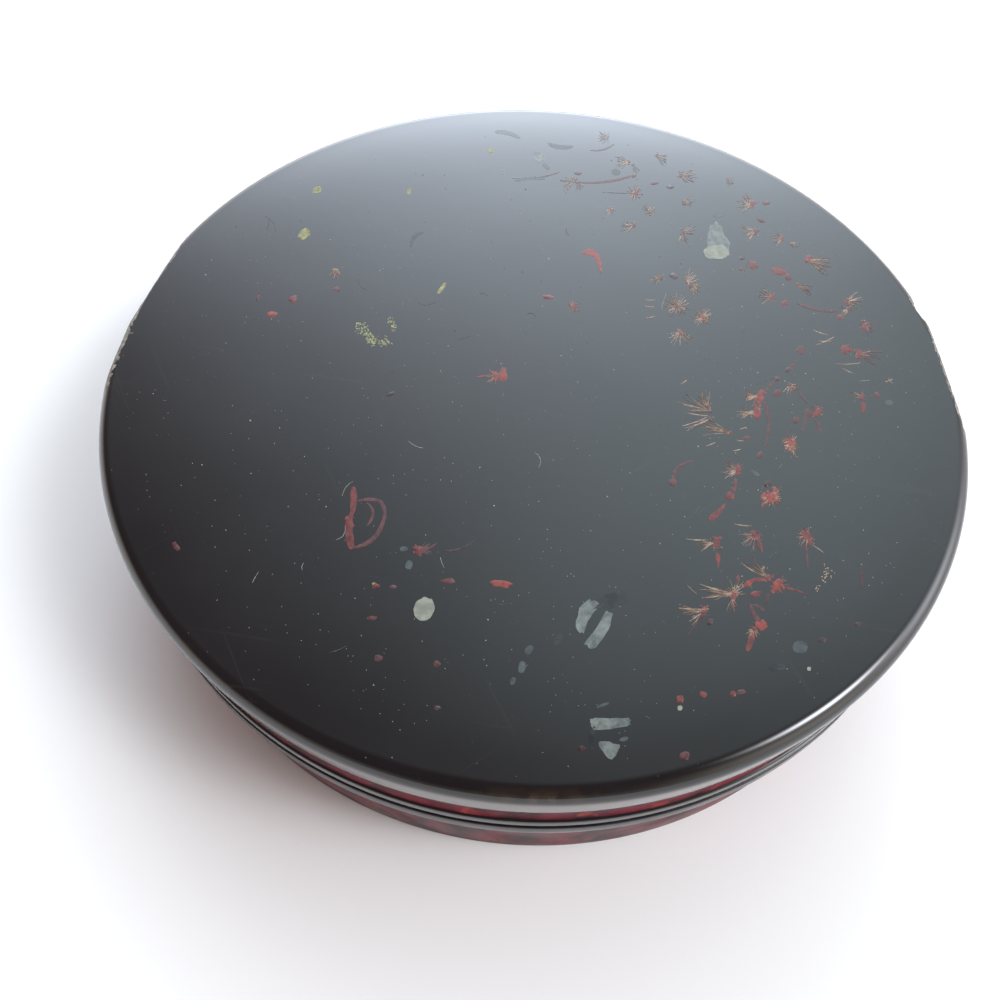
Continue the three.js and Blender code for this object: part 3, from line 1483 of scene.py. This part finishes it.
@dataclass
class Sprigs:
    """The red sprigs with gold needles that are scattered over the lid, thickest on its right."""

    seed: int = 7
    tufts: tuple[Tuft, ...] = (
        Tuft(608, 136, faces=200, reach=10, core=4, gold=0.2, red=Red.SUNK),
        Tuft(629, 162, faces=180, reach=15, core=5, spread=35, gold=0.5, red=Red.DULL),
        Tuft(633, 165, faces=-60, reach=9, core=4, spread=30, needles=4, gold=0.3, red=Red.DULL),
        Tuft(657, 155, faces=-35, reach=13, core=5, spread=30, needles=7, gold=0.3, red=Red.DULL),
        Tuft(575, 180, faces=205, reach=15, core=5, spread=35, needles=6, gold=0.3, red=Red.DULL),
        Tuft(578, 183, faces=-70, reach=9, core=4, spread=35, needles=4, gold=0.2, red=Red.DULL),
        Tuft(681, 175, faces=-15, reach=15, core=7, spread=45, gold=0.3, red=Red.DULL),
        Tuft(635, 193, faces=-60, reach=7, core=9, spread=160, gold=0.4),
        Tuft(684, 203, faces=20, reach=10, spread=45, needles=6, gold=0.5, red=Red.DULL),
        Tuft(610, 208, faces=-90, reach=7, core=4, needles=5, gold=0.5, red=Red.SUNK),
        Tuft(649, 212, faces=90, reach=8, spread=100, needles=7, gold=0.7, red=Red.SUNK),
        Tuft(634, 225, faces=195, reach=14, spread=35, needles=7, red=Red.DULL),
        Tuft(683, 232, faces=15, reach=14, spread=25, needles=5, gold=0.4, red=Red.DULL),
        Tuft(682, 234, faces=-85, reach=12, core=5, spread=35, needles=5, gold=0.4, red=Red.DULL),
        Tuft(752, 204, faces=165, reach=13, core=9, needles=10, gold=0.5),
        Tuft(755, 231, faces=195, reach=14, core=8, spread=45, needles=8, gold=0.8),
        Tuft(732, 183, faces=150, reach=7, core=4, needles=4, gold=0.2, red=Red.SUNK),
        Tuft(782, 239, faces=170, reach=10, needles=6, gold=0.7),
        Tuft(790, 243, faces=-30, reach=11, core=0, spread=25, needles=4, gold=0.4, red=Red.DULL),
        Tuft(808, 259, faces=-22, reach=25, core=10, spread=28, needles=8, gold=0.5),
        Tuft(798, 285, faces=-20, reach=17, core=4, spread=24, needles=6, gold=0.5),
        Tuft(772, 297, faces=165, reach=13, core=9, spread=40, needles=7, gold=0.5),
        Tuft(847, 301, faces=-5, reach=14, core=7),
        Tuft(848, 309, faces=200, reach=8, core=5, spread=50, needles=5),
        Tuft(865, 325, faces=-35, reach=12, core=8, spread=40, needles=6, gold=0.3),
        Tuft(661, 278, faces=195, reach=10, spread=45, needles=6, red=Red.DULL),
        Tuft(687, 283, faces=55, reach=15, core=4, spread=65, needles=8, gold=1.0, red=Red.DULL),
        Tuft(692, 286, faces=-45, reach=9, core=7, needles=6, gold=0.9, red=Red.DULL),
        Tuft(677, 307, faces=90, reach=13, core=9, spread=165, needles=22, gold=0.8, red=Red.DULL),
        Tuft(
            703, 317, faces=160, reach=10, core=8, spread=150, needles=14, gold=0.85, red=Red.BRIGHT
        ),
        Tuft(680, 332, faces=-90, reach=15, spread=75, gold=1.0, red=Red.BRIGHT),
        Tuft(573, 307, faces=20, reach=7, core=8, spread=120, needles=6, gold=0.5),
        Tuft(859, 354, faces=-5, reach=22, core=11, spread=24, needles=7, gold=0.3),
        Tuft(865, 328, faces=100, reach=6, core=9, spread=70, needles=5, gold=0.3),
        Tuft(
            760, 397, faces=180, reach=13, core=13, spread=45, needles=14, gold=0.8, red=Red.BRIGHT, rows=5
        ),
        Tuft(
            757, 412, faces=185, reach=18, core=12, spread=30, needles=10, gold=0.8, red=Red.BRIGHT, rows=4
        ),
        Tuft(790, 385, faces=-65, reach=10, spread=75, gold=1.0, red=Red.DULL),
        Tuft(818, 412, faces=150, reach=8, core=11, needles=6, gold=0.5),
        Tuft(708, 406, faces=120, reach=18, spread=32, needles=7, gold=0.9),
        Tuft(709, 411, faces=165, reach=33, core=5, spread=22, needles=6, gold=0.8, red=Red.DULL),
        Tuft(710, 419, faces=200, reach=28, spread=14, needles=5, gold=0.7, red=Red.DULL),
        Tuft(730, 433, faces=163, reach=32, core=5, spread=14, needles=7, gold=0.85),
        Tuft(
            791, 443, faces=200, reach=8, core=12, spread=150, needles=14, gold=0.75, red=Red.BRIGHT
        ),
        Tuft(792, 450, faces=-55, reach=9, core=4, spread=15, needles=3, gold=1.0, red=Red.BRIGHT),
        Tuft(738, 470, faces=175, reach=15, core=11, spread=50, needles=10, gold=0.85),
        Tuft(
            771, 497, faces=-60, reach=8, core=17, spread=120, needles=16, gold=0.7, red=Red.BRIGHT
        ),
        Tuft(862, 397, faces=160, reach=12, core=8, spread=20, needles=3, gold=0.3),
        Tuft(716, 543, faces=185, reach=16, core=12, spread=40, gold=0.55, rows=3),
        Tuft(755, 535, faces=240, reach=15, core=13, spread=75, needles=10, gold=0.5),
        Tuft(807, 536, faces=200, reach=9, core=16, spread=120, needles=12, gold=0.45),
        Tuft(734, 594, faces=176, reach=34, core=8, spread=14, needles=8, gold=0.8),
        Tuft(734, 594, faces=90, reach=14, core=9, spread=95, gold=0.7),
        Tuft(733, 598, faces=-90, reach=15, core=7, spread=22, needles=6, gold=0.3),
        Tuft(704, 611, faces=174, reach=25, core=11, spread=12, needles=7, gold=0.7),
        Tuft(702, 613, faces=225, reach=14, spread=25, needles=6, gold=0.5, red=Red.DULL),
        Tuft(768, 578, faces=140, reach=30, core=9, spread=12, needles=4, gold=0.85),
        Tuft(
            777, 585, faces=-20, reach=10, core=14, spread=70, needles=6, gold=0.2, red=Red.BRIGHT
        ),
        Tuft(754, 629, faces=-110, reach=9, core=8, needles=8, gold=0.8),
        Tuft(419, 551, faces=20, reach=14, core=10, spread=35, needles=4, gold=0.1),
        Tuft(496, 376, faces=200, reach=12, core=9, needles=5, gold=0.3, red=Red.BRIGHT),
        Tuft(336, 272, faces=240, reach=6, core=7, spread=90, needles=5),
    )
    stems: tuple[Stem, ...] = (
        Stem((560, 180), (600, 187), (634, 175), wide=2.0, end_wide=3.4),
        Stem((512, 178), (538, 180), (559, 172), wide=1.6, end_wide=2.2, red=Red.SUNK),
        Stem((590, 150), (604, 152), (614, 144), wide=2.0, end_wide=2.4, red=Red.SUNK),
        Stem((797, 303), (815, 312), (838, 311), wide=3.2, end_wide=3.6),
        Stem((602, 192), (616, 193), (628, 193), wide=1.0, end_wide=1.4, red=Red.SUNK),
        Stem((583, 253), (599, 247), (601, 273), wide=8.5, end_wide=4.5, red=Red.BRIGHT),
        Stem((766, 402), (772, 428), (765, 447), wide=4.0, end_wide=3.0),
        Stem((762, 396), (768, 386), (777, 379), end_wide=3.0, ball=6.0),
        Stem((787, 371), (793, 368), (796, 360), wide=5.0, end_wide=3.4),
        Stem((806, 414), (804, 424), (802, 432), wide=3.4, end_wide=2.4),
        Stem((815, 420), (821, 426), (820, 433), wide=3.4, end_wide=3.8),
        Stem((797, 388), (801, 397), (808, 403), wide=2.0, end_wide=1.4),
        Stem((735, 478), (738, 487), (730, 496), wide=3.4, end_wide=3.0, ball=9.5, red=Red.PLAIN),
        Stem((725, 504), (718, 514), (709, 520), wide=4.4, end_wide=8.0, red=Red.PLAIN),
        Stem((693, 461), (671, 466), (673, 482), wide=3.0, end_wide=4.0, ball=8.5),
        Stem((862, 402), (864, 407), (863, 413), wide=7.0, end_wide=4.0, red=Red.PLAIN),
        Stem((717, 553), (719, 560), (718, 568), wide=6.0, end_wide=2.4, red=Red.PLAIN),
        Stem((757, 541), (762, 546), (762, 552), wide=5.0, end_wide=2.4, red=Red.PLAIN),
        Stem((806, 544), (807, 556), (808, 567), wide=3.0, end_wide=2.0),
        Stem((860, 565), (863, 576), (862, 588), wide=3.0, end_wide=3.6, red=Red.SUNK),
        Stem((742, 588), (749, 577), (771, 580), wide=4.0, end_wide=5.0, red=Red.PLAIN),
        Stem((783, 587), (795, 589), (806, 594), wide=3.4, end_wide=1.4, red=Red.PLAIN),
        Stem((737, 584), (738, 580), (738, 574), wide=5.0, end_wide=4.0),
        Stem((768, 593), (768, 600), (766, 605), wide=5.0, red=Red.SUNK),
        Stem((703, 616), (696, 624), (688, 635), wide=5.4, end_wide=2.4, red=Red.SUNK),
        Stem((750, 604), (753, 614), (760, 622), wide=4.0, end_wide=6.0),
        Stem((752, 605), (760, 605), (764, 611), wide=3.0, end_wide=4.0),
        Stem((753, 630), (752, 641), (747, 651), wide=7.0, end_wide=7.0, red=Red.PLAIN),
        Stem((353, 487), (355, 500), (352, 514), wide=8.0, end_wide=7.0, red=Red.PLAIN),
        Stem((353, 508), (346, 530), (352, 549), wide=6.0, end_wide=10.0, red=Red.PLAIN),
        Stem((358, 501), (386, 494), (385, 516), wide=4.0, end_wide=5.0),
        Stem((385, 513), (381, 543), (353, 548), wide=5.0, end_wide=5.0),
        Stem((367, 503), (379, 512), (367, 526), wide=3.0, end_wide=3.6),
        Stem((423, 549), (430, 549), (437, 543), wide=3.4, end_wide=1.8),
        Stem((444, 551), (460, 552), (474, 541), wide=2.2, end_wide=1.2, red=Red.SUNK),
        Stem((477, 377), (484, 376), (492, 376), wide=2.4, end_wide=2.0, red=Red.PLAIN),
    )
    blobs: tuple[Blob, ...] = (
        Blob(578, 173, long=8, wide=5, red=Red.SUNK),
        Blob(654, 183, long=8, wide=4, red=Red.DULL),
        Blob(670, 187, long=8, wide=4, turn=-10, red=Red.SUNK),
        Blob(634, 176, long=5, wide=3.4, turn=20, red=Red.DULL),
        Blob(766, 203, long=8, wide=4, red=Red.DULL),
        Blob(761, 220, long=10, wide=4, turn=-25, red=Red.DULL),
        Blob(753, 265, long=11, wide=8, turn=-15),
        Blob(741, 269, long=4, wide=3),
        Blob(742, 258, long=5, wide=4, red=Red.SUNK),
        Blob(779, 271, long=16, wide=8, turn=-15),
        Blob(788, 277, long=10, wide=6, turn=-35, red=Red.DULL),
        Blob(784.5, 303, long=7, wide=7),
        Blob(840, 317, long=8, wide=5),
        Blob(674, 276, long=9, wide=6, turn=-30, red=Red.SUNK),
        Blob(573, 306, long=10, wide=5, turn=-20),
        Blob(548, 297, long=13, wide=4, turn=-10),
        Blob(846, 349, long=11, wide=10),
        Blob(801, 350, long=10, wide=8, turn=60, red=Red.DULL),
        Blob(788, 370, long=7, wide=5, turn=40, red=Red.SUNK),
        Blob(777, 393, long=10, wide=7, turn=40, red=Red.DULL),
        Blob(796, 420, long=8, wide=7, red=Red.DULL),
        Blob(808, 413, long=9, wide=8, turn=60, red=Red.DULL),
        Blob(760, 455, long=8, wide=5, turn=65, red=Red.DULL),
        Blob(747, 438, long=7, wide=4, red=Red.DULL),
        Blob(877, 395, long=6, wide=6, red=Red.DULL),
        Blob(768, 484, long=7, wide=8, red=Red.SUNK),
        Blob(756, 594, long=11, wide=6, turn=10),
        Blob(749, 583, long=9, wide=6, turn=30, red=Red.BRIGHT),
        Blob(761, 625, long=13, wide=10, turn=-25, red=Red.BRIGHT),
        Blob(710, 622, long=8, wide=6, turn=50, red=Red.SUNK),
        Blob(680, 699, long=8, wide=8),
        Blob(703, 694, long=8, wide=6, turn=-20),
        Blob(733, 694, long=7, wide=6),
        Blob(741, 692, long=9, wide=5, turn=10, red=Red.DULL),
        Blob(685, 756, long=11, wide=9, red=Red.DULL),
        Blob(858, 624, long=7, wide=4, red=Red.SUNK),
        Blob(822, 640, long=8, wide=5, red=Red.SUNK),
        Blob(582, 749, long=7, wide=7, red=Red.SUNK),
        Blob(448, 581, long=15, wide=6, red=Red.DULL),
        Blob(501, 584, long=22, wide=7, turn=-6, red=Red.BRIGHT),
        Blob(375.5, 586, long=8, wide=5),
        Blob(393, 587, long=7, wide=4, red=Red.DULL),
        Blob(372, 618, long=9, wide=5, red=Red.DULL),
        Blob(378, 658, long=8, wide=7, red=Red.DULL),
        Blob(437, 664, long=8, wide=6, red=Red.DULL),
        Blob(437, 708, long=7, wide=5, red=Red.SUNK),
        Blob(176, 546, long=12, wide=5, turn=-55, red=Red.DULL),
        Blob(272, 314, long=12, wide=5, turn=5, red=Red.BRIGHT),
        Blob(293, 299, long=10, wide=7, turn=30),
        Blob(258, 298, long=7, wide=3, turn=60, red=Red.DULL),
        Blob(337, 289, long=7, wide=5, red=Red.DULL),
        Blob(391, 394, long=9, wide=4, turn=20, red=Red.SUNK),
        Blob(503, 374, long=9, wide=13, red=Red.BRIGHT),
        Blob(349, 524, long=9, wide=14, turn=10),
        Blob(420, 550, long=11, wide=8),
    )
    lines: tuple[Line, ...] = (
        Line((678, 402), (704, 409)),
        Line((685, 412), (708, 416)),
        Line((682, 426), (707, 417)),
        Line((813, 330), (828, 335)),
        Line((816, 345), (834, 337)),
        Line((819, 341), (831, 341)),
        Line((836, 364), (860, 363), wide=0.9),
        Line((842, 368), (855, 374), wide=0.9),
        Line((645, 300), (655, 300)),
        Line((644, 306), (654, 307)),
        Line((646, 318), (655, 316)),
        Line((681, 384), (687, 380)),
        Line((686, 539), (708, 540), wide=1.4),
        Line((734, 524), (752, 526), wide=1.3),
        Line((824, 553), (812, 545)),
        Line((700, 584), (727, 592), wide=1.4),
        Line((702, 598), (727, 594), wide=1.5),
        Line((687, 585), (697, 594)),
        Line((679, 608), (709, 609), wide=1.8),
        Line((741, 563), (763, 576), wide=1.3),
        Line((888, 378), (893, 384)),
        Line((885, 382), (893, 379)),
        Line((740, 429), (746, 427)),
        Line((736, 440), (744, 441)),
        Line((706, 446), (716, 442)),
        Line((733, 451), (741, 449)),
    )
    sprinkles: tuple[Sprinkle, ...] = (
        Sprinkle(827, 573, reach=6, count=22),
        Sprinkle(817, 589, reach=2.5, count=6),
        Sprinkle(765, 570, reach=4, count=7),
        Sprinkle(736, 588, reach=8, count=10),
    )

    def build(self) -> None:
        """Makes the red sprigs and the gold laid over them."""
        red, gold = Inlay("sprigs", Slot.RED), Inlay("gold_needles", Slot.GOLD)
        rng = random.Random(self.seed)
        for stem in self.stems:
            stem.draw(red)
        for blob in self.blobs:
            blob.draw(red)
        for tuft in self.tufts:
            tuft.draw(red, gold, rng)
        for line in self.lines:
            line.draw(gold)
        for sprinkle in self.sprinkles:
            sprinkle.draw(gold, rng)
        red.lay([finish.material() for finish in (BRIGHT_RED, PLAIN_RED, DULL_RED, SUNK_RED)])
        gold.lay([GOLD_INLAY.material()])


@dataclass
class ShellInlay:
    """Chips of shell and eggshell, some on the surface and some deep in the lacquer."""

    chips: tuple[Flake, ...] = (
        Flake(717, 240, long=36, wide=21, turn=97, taper=-0.42, ragged=0.16),
        Flake(716, 252, long=25, wide=14, turn=2, ragged=0.14, tone=Pale.EGGSHELL, lift=0.04),
        Flake(719, 215, long=11, wide=4, turn=8, tone=Pale.GREY),
        Flake(538, 156, long=13, wide=9, turn=-50, taper=0.2),
        Flake(546, 166, long=9, wide=4, turn=-40, tone=Pale.GREY),
        Flake(
            424, 609, long=24, wide=20, turn=62, ragged=0.1, square=0.1, tone=Pale.EGGSHELL, lift=0.05
        ),
        Flake(584, 615, long=36, wide=13, turn=64, taper=0.25, bend=4.5, ragged=0.16, square=0.75),
        Flake(601, 631, long=42, wide=11.5, turn=58, taper=-0.12, bend=-3, ragged=0.16, square=0.7),
        Flake(611, 724, long=42, wide=11, turn=3, taper=-0.2, bend=-3, ragged=0.3, square=0.4),
        Flake(608, 748, long=21, wide=13, turn=-32, taper=0.55, ragged=0.22, square=0.7),
        Flake(624, 739, long=9, wide=4, turn=15, tone=Pale.GREY),
        Flake(603, 705, long=13, wide=3, turn=20, tone=Pale.GREY),
        Flake(591, 738, long=24, wide=5, turn=85, bend=3, tone=Pale.GHOST),
        Flake(612, 600, long=34, wide=14, turn=20, tone=Pale.GHOST, ragged=0.3),
        Flake(522, 667, long=12, wide=7, turn=80, tone=Pale.GREY),
        Flake(513, 681, long=8, wide=5, turn=70, tone=Pale.GREY),
        Flake(529, 650, long=10, wide=7, turn=50, tone=Pale.GREY),
        Flake(559, 640, long=14, wide=9, turn=60, tone=Pale.GHOST),
        Flake(800, 647, long=15, wide=12, ragged=0.06, tone=Pale.GREY),
        Flake(777, 667, long=17, wide=7, turn=5, tone=Pale.GHOST, ragged=0.25),
        Flake(755, 473, long=10, wide=4, turn=-30, tone=Pale.GREY),
        Flake(889, 403, long=8, wide=6, tone=Pale.GREY),
        Flake(404, 549, long=8, wide=5, tone=Pale.GREY),
        Flake(409, 565, long=9, wide=7, turn=70, tone=Pale.GREY),
        Flake(414, 237, long=20, wide=4, turn=50, bend=4, tone=Pale.GHOST),
        Flake(530, 178, long=30, wide=3, turn=4, bend=2, tone=Pale.GREY),
        Flake(508, 133, long=26, wide=4, turn=-14, bend=2, tone=Pale.GREY),
        Flake(560, 147, long=26, wide=4, turn=-8, bend=-2, tone=Pale.GHOST),
        Flake(616, 172, long=6, wide=9, turn=80, tone=Pale.GHOST),
        Flake(680, 708, long=5, wide=5, tone=Pale.EGGSHELL),
        Flake(809, 669, long=4, wide=4, tone=Pale.EGGSHELL, lift=0.1),
    )
    leaves: tuple[Flake, ...] = (
        Flake(317, 190, long=9, wide=6, turn=20, ragged=0.4),
        Flake(304, 234, long=12, wide=9, turn=35, ragged=0.3),
        Flake(306, 231, long=6, wide=5, turn=35, ragged=0.3),
        Flake(442, 288, long=14, wide=4, turn=55, ragged=0.3),
        Flake(491, 151, long=6, wide=4, ragged=0.3),
        Flake(409, 191, long=7, wide=4, turn=70, ragged=0.3),
        Flake(336, 271, long=8, wide=4, turn=-30, ragged=0.5),
        Flake(374, 584, long=4, wide=3, ragged=0.3),
    )
    crumbs: tuple[Crumbs, ...] = (
        Crumbs((361, 325), (366, 343), (388, 343), spread=3.4, count=130),
        Crumbs((388, 319), (396, 323), (392, 330), spread=1.8, count=26),
    )
    crumb_seed: int = 5

    def build(self) -> None:
        """Makes the shell and the scraps of gold leaf."""
        shell, leaf = Inlay("shell_chips", Slot.SHELL), Inlay("gold_leaf", Slot.GOLD)
        for chip in self.chips:
            chip.draw(shell, chip.tone.value)
        for scrap in self.leaves:
            scrap.draw(leaf, 0)
        for crumbs in self.crumbs:
            crumbs.draw(leaf, random.Random(self.crumb_seed))
        pale = (EGGSHELL_INLAY, SHELL_INLAY, GREY_SHELL, GHOST_SHELL)
        shell.lay([finish.material() for finish in pale])
        leaf.lay([GOLD_LEAF.material()])


@dataclass
class Dust:
    """Specks of dust and short fibres that lie on the lid."""

    seed: int = 31
    specks: int = 520
    fibres: int = 46
    reach: float = 108 * MM
    fibre_reach: float = 100 * MM
    fine_share: float = 0.92
    fibre_widths: tuple[float, ...] = (0.35, 0.55, 0.35)
    speck_thick: float = 0.16
    fibre_thick: float = 0.1

    def build(self) -> None:
        """Makes the dust."""
        rng = random.Random(self.seed)
        dust = Inlay("dust", Slot.LINT)
        laid = 0
        while laid < self.specks:
            x, y = rng.uniform(110, 960), rng.uniform(130, 800)
            if self.on_top(x, y, self.reach):
                self.lay_speck(dust, rng, x, y)
                laid += 1
        for _ in range(self.fibres):
            x, y = rng.uniform(200, 900), rng.uniform(190, 740)
            if self.on_top(x, y, self.fibre_reach):
                self.lay_fibre(dust, rng, x, y)
        dust.lay([LINT_FINISH.material(), DULL_LINT.material()])

    def on_top(self, x: float, y: float, reach: float) -> bool:
        """Whether the lid's top, out to a radius, is seen at a pixel."""
        return FORM.section_radius(VIEW.on_lid(x, y, 0)) < reach

    def lay_speck(self, dust: Inlay, rng: random.Random, x: float, y: float) -> None:
        """Lays one speck, a fine one or now and then a coarser one.

        Args:
            dust: the piece that it is drawn in.
            rng: the source of its size and tone.
            x: pixel column.
            y: pixel row.
        """
        fine = rng.random() < self.fine_share
        size = rng.uniform(0.8, 1.3) if fine else rng.uniform(1.4, 2.2)
        wide, turn = size * rng.uniform(0.6, 1), rng.uniform(0, 180)
        dust.lump(x, y, size, wide, turn, self.speck_thick, rng.choice((0, 0, 1)), fine=1)

    def lay_fibre(self, dust: Inlay, rng: random.Random, x: float, y: float) -> None:
        """Lays one fibre, bent to one side.

        Args:
            dust: the piece that it is drawn in.
            rng: the source of its direction, length, bend and tone.
            x: pixel column of its start.
            y: pixel row of its start.
        """
        turn, length = rng.uniform(0, math.tau), rng.uniform(7, 20)
        along = Vector((math.cos(turn), math.sin(turn))) * length
        curl = Vector((-along.y, along.x)) * rng.uniform(-0.5, 0.5)
        start = Vector((x, y))
        path = bent(start, start + along / 2 + curl, start + along, 6)
        dust.strand(path, self.fibre_widths, self.fibre_thick, rng.choice((0, 1, 1)))


@dataclass(frozen=True)
class Glow:
    """A soft bright patch of the surroundings, such as a window or a sunlit wall."""

    azimuth: float
    elevation: float
    spread: float
    strength: float
    tone: Tone

    @property
    def towards(self) -> Vector:
        """Direction of its middle."""
        return direction(math.radians(self.azimuth), math.radians(self.elevation))


@dataclass
class Studio:
    """A pale floor under soft light that comes mostly from behind the box and from its right."""

    floor_size: float = 8.0
    floor_tone: Tone = colour(243, 242, 240)
    floor_rough: float = 0.9
    floor_gap: float = 0.02 * MM
    overhead: Tone = (0.23, 0.17, 0.17, 1)
    level: Tone = (1.6, 1.46, 1.32, 1)
    front: Tone = (0.5, 0.45, 0.4, 1)
    front_fades: tuple[float, float] = (-1.0, -0.45)
    level_fades: tuple[float, float] = (0.0, 0.4)
    glows: tuple[Glow, ...] = (
        Glow(azimuth=92, elevation=20, spread=16.4, strength=6.1, tone=(1.0, 1.13, 1.29, 1)),
        Glow(azimuth=67, elevation=55, spread=16, strength=1.15, tone=(1.0, 1.27, 1.35, 1)),
        Glow(azimuth=44, elevation=38, spread=13, strength=0.5, tone=(1.0, 1.25, 1.3, 1)),
        Glow(azimuth=6, elevation=26, spread=12, strength=4.4, tone=(1.0, 1.06, 1.16, 1)),
        Glow(azimuth=-13, elevation=47, spread=6.0, strength=25.0, tone=(1.0, 1.04, 1.1, 1)),
        Glow(azimuth=-34, elevation=20, spread=13, strength=1.5, tone=(1.0, 0.97, 0.88, 1)),
    )

    def build(self) -> None:
        """Makes the floor and the surroundings."""
        self.lay_floor()
        self.surround()
        bpy.context.scene.view_settings.view_transform = "Standard"

    def lay_floor(self) -> None:
        """A wide matt floor, a hair below the height that the box stands on."""
        bm = bmesh.new()
        bmesh.ops.create_grid(bm, x_segments=2, y_segments=2, size=self.floor_size / 2)
        mesh = bpy.data.meshes.new("floor")
        bm.to_mesh(mesh)
        bm.free()
        weave = Weave("floor")
        weave.set("Base Color", self.floor_tone)
        weave.set("Roughness", self.floor_rough)
        mesh.materials.append(weave.material)
        floor = bpy.data.objects.new("floor", mesh)
        floor.location.z = -self.floor_gap
        bpy.context.scene.collection.objects.link(floor)

    def surround(self) -> None:
        """Surroundings that are dim overhead and in front, with the glows added."""
        world = bpy.data.worlds.new("surroundings")
        world.use_nodes = True
        sky = Net(world.node_tree, "Generated")
        low = sky.mix(sky.ramp(sky.axis("Y"), *self.front_fades), self.front, self.level)
        total = sky.mix(sky.ramp(sky.axis("Z"), *self.level_fades), low, self.overhead)
        for glow in self.glows:
            total = self.add_glow(sky, total, glow)
        sky.links.new(total, sky.nodes["Background"].inputs["Color"])
        bpy.context.scene.world = world

    def add_glow(self, sky: Net, total: Socket, glow: Glow) -> Socket:
        """Adds one glow, which falls off round its middle as a bell does.

        Args:
            sky: the world's node tree.
            total: the light so far.
            glow: the glow to add.

        Returns:
            The light with the glow.
        """
        dot = sky.nodes.new("ShaderNodeVectorMath")
        dot.operation = "DOT_PRODUCT"
        sky.links.new(sky.place, dot.inputs[0])
        dot.inputs[1].default_value = glow.towards
        narrow = 1 / math.radians(glow.spread) ** 2
        fall = sky.math("MULTIPLY_ADD", dot.outputs["Value"], narrow, -narrow)
        light = sky.nodes.new("ShaderNodeVectorMath")
        light.operation = "MULTIPLY_ADD"
        sky.links.new(sky.math("EXPONENT", fall), light.inputs[0])
        light.inputs[1].default_value = Vector(glow.tone[:3]) * glow.strength
        sky.links.new(total, light.inputs[2])
        return light.outputs["Vector"]


def main() -> None:
    """Builds the camera, the box and the studio, and reports on them."""
    logging.basicConfig(level=logging.INFO, format="%(message)s")
    VIEW.place_camera()
    for part in (Lid(), Body(), Sprigs(), ShellInlay(), Dust(), Studio()):
        part.build()
        log.info("%s: built", type(part).__name__)


if __name__ == "__main__":
    main()
